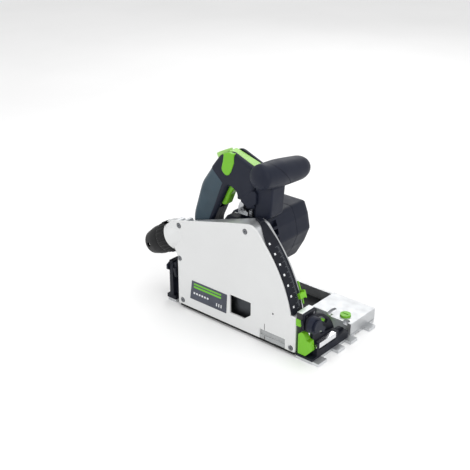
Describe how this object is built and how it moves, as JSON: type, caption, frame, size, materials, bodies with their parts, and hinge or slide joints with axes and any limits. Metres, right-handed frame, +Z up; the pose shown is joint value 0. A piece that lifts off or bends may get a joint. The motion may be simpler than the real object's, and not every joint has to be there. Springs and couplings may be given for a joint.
{
  "type": "track plunge saw",
  "caption": "Plunge-cut track saw with a bevelling blade guard, a sprung plunging motor unit, a rear D-handle, a front bar handle and a grooved base for a guide rail.",
  "frame": {"origin": "on the sole, on the centre line of the guide rail groove, abreast of the arbor at full depth", "axes": "+X forward along the cut, +Y away from the blade to the motor's side, +Z up"},
  "size_m": [0.382, 0.1826, 0.2887],
  "materials": {
    "cover_white": "satin powder coat",
    "slate_plastic": "fine-grained moulded plastic",
    "black_plastic": "moulded plastic",
    "green_plastic": "smooth moulded plastic",
    "pale_green": "smooth moulded plastic",
    "grip_rubber": "soft matt rubber",
    "cast_alloy": "bead-blasted casting",
    "steel": "ground steel",
    "screw_steel": "zinc-plated",
    "clear_window": "clear polycarbonate",
    "scale_strip": "printed strip",
    "pad": "low-friction pad",
    "copper_core": "laminations and windings"
  },
  "bodies": {
    "base": {"base_plate": "cast_alloy", "tray_liner": "black_plastic", "slide_pads": "pad", "front_bracket": "slate_plastic", "front_bar": "steel", "rear_bracket": "slate_plastic", "bracket_screws": "screw_steel"},
    "guard": {"guard_housing": "cast_alloy", "guard_cover": "cover_white", "cover_screws": "screw_steel", "name_plate": "scale_strip", "depth_scale": "scale_strip", "front_segment": "slate_plastic", "rear_segment": "slate_plastic", "segment_screws": "screw_steel", "pivot_pin": "steel", "plunge_spring": "steel"},
    "unit": {"gear_case": "slate_plastic", "bearing_plate": "cast_alloy", "spindle_bearings": "steel", "motor_bearings": "steel", "motor_housing": "slate_plastic", "motor_end_cap": "slate_plastic", "motor_screws": "screw_steel", "stator": "copper_core", "electronics_module": "black_plastic", "handle_left": "slate_plastic", "handle_right": "slate_plastic", "handle_screws": "screw_steel", "handle_grip": "grip_rubber", "switch_module": "black_plastic", "front_handle_neck": "slate_plastic", "front_handle_end": "slate_plastic", "power_inlet": "black_plastic", "inlet_collar": "pale_green"},
    "spindle": {"saw_blade": "steel", "arbor_shaft": "steel", "spindle_gear": "steel", "inner_flange": "steel", "outer_flange": "steel", "arbor_screw": "black_plastic"},
    "rotor": {"rotor_shaft": "steel", "rotor_core": "steel", "cooling_fan": "black_plastic"},
    "knife": {"riving_knife": "steel"},
    "trigger": {"trigger": "green_plastic"},
    "start_lock": {"start_lock": "green_plastic"},
    "change_lever": {"change_lever": "pale_green"},
    "speed_dial": {"speed_dial": "green_plastic"},
    "window": {"view_window": "clear_window"},
    "dust_port": {"dust_ring": "black_plastic", "dust_outlet": "black_plastic"},
    "depth_stop": {"depth_stop": "green_plastic"},
    "index_button": {"index_button": "green_plastic"},
    "front_knob": {"front_knob": "slate_plastic"},
    "rear_knob": {"rear_knob": "slate_plastic"},
    "front_dial": {"jaw_dial_front": "green_plastic"},
    "rear_dial": {"jaw_dial_rear": "green_plastic"},
    "undercut_lever": {"undercut_lever": "green_plastic"},
    "front_latch": {"front_latch": "green_plastic"}
  },
  "joints": [
    {"name": "bevel", "type": "hinge", "parent": "base", "child": "guard", "pos_m": [0, -0.1109, 0], "axis": [1, 0, 0], "range_deg": [-1, 47]},
    {"name": "plunge", "type": "hinge", "parent": "guard", "child": "unit", "pos_m": [-0.131, -0.11, 0.016], "axis": [0, 1, 0], "range_deg": [0, 31], "stiffness_Nm_per_rad": 6, "springref_deg": -57.3},
    {"name": "spindle_spin", "type": "hinge", "parent": "unit", "child": "spindle", "pos_m": [-0.02304, -0.11, 0.0902], "axis": [0, 1, 0], "continuous": true},
    {"name": "rotor_spin", "type": "hinge", "parent": "unit", "child": "rotor", "pos_m": [-0.02304, -0.11, 0.1173], "axis": [0, 1, 0], "continuous": true},
    {"name": "knife_link", "type": "hinge", "parent": "unit", "child": "knife", "pos_m": [-0.02304, -0.11, 0.0902], "axis": [0, 1, 0], "range_deg": [-31, 0]},
    {"name": "trigger_pull", "type": "hinge", "parent": "unit", "child": "trigger", "pos_m": [-0.059, -0.067, 0.235], "axis": [0, 1, 0], "range_deg": [0, 7], "stiffness_Nm_per_rad": 0.5, "springref_deg": -17.19},
    {"name": "start_lock_press", "type": "slide", "parent": "unit", "child": "start_lock", "axis": [0, 1, 0], "range_m": [0, 0.0025], "stiffness_N_per_m": 800, "springref_m": -0.002},
    {"name": "change_lever_flip", "type": "hinge", "parent": "unit", "child": "change_lever", "pos_m": [-0.012, -0.067, 0.2688], "axis": [0, 1, 0], "range_deg": [0, 45]},
    {"name": "speed_dial_turn", "type": "hinge", "parent": "unit", "child": "speed_dial", "pos_m": [-0.044, -0.034, 0.186], "axis": [0, 0, 1], "range_deg": [0, 270]},
    {"name": "window_slide", "type": "slide", "parent": "guard", "child": "window", "axis": [0, 0, 1], "range_m": [0, 0.01]},
    {"name": "dust_swivel", "type": "hinge", "parent": "guard", "child": "dust_port", "pos_m": [-0.148, -0.102, 0.129], "axis": [-0.866, 0, -0.5], "range_deg": [-90, 90]},
    {"name": "depth_stop_set", "type": "hinge", "parent": "guard", "child": "depth_stop", "pos_m": [-0.131, -0.11, 0.016], "axis": [0, -1, 0], "range_deg": [0, 28]},
    {"name": "index_press", "type": "slide", "parent": "guard", "child": "index_button", "axis": [0, 1, 0], "range_m": [0, 0.0025], "stiffness_N_per_m": 800, "springref_m": -0.002},
    {"name": "front_knob_turn", "type": "hinge", "parent": "base", "child": "front_knob", "pos_m": [0.145, -0.1143, 0.06491], "axis": [1, 0, 0], "range_deg": [-60, 60]},
    {"name": "rear_knob_turn", "type": "hinge", "parent": "base", "child": "rear_knob", "pos_m": [-0.166, -0.1143, 0.06491], "axis": [1, 0, 0], "range_deg": [-60, 60]},
    {"name": "front_dial_turn", "type": "hinge", "parent": "base", "child": "front_dial", "pos_m": [0.122, 0, 0], "axis": [0, 0, 1], "range_deg": [0, 180]},
    {"name": "rear_dial_turn", "type": "hinge", "parent": "base", "child": "rear_dial", "pos_m": [-0.13, 0, 0], "axis": [0, 0, 1], "range_deg": [0, 180]},
    {"name": "undercut_turn", "type": "hinge", "parent": "base", "child": "undercut_lever", "pos_m": [0.09, -0.036, 0], "axis": [0, 0, 1], "range_deg": [0, 60]},
    {"name": "front_latch_slide", "type": "slide", "parent": "base", "child": "front_latch", "axis": [0, 0, 1], "range_m": [0, 0.004]}
  ],
  "couplings": [
    {"joint": "rotor_spin", "follows": "spindle_spin", "ratio": -2.3333},
    {"joint": "knife_link", "follows": "plunge", "ratio": -1}
  ]
}
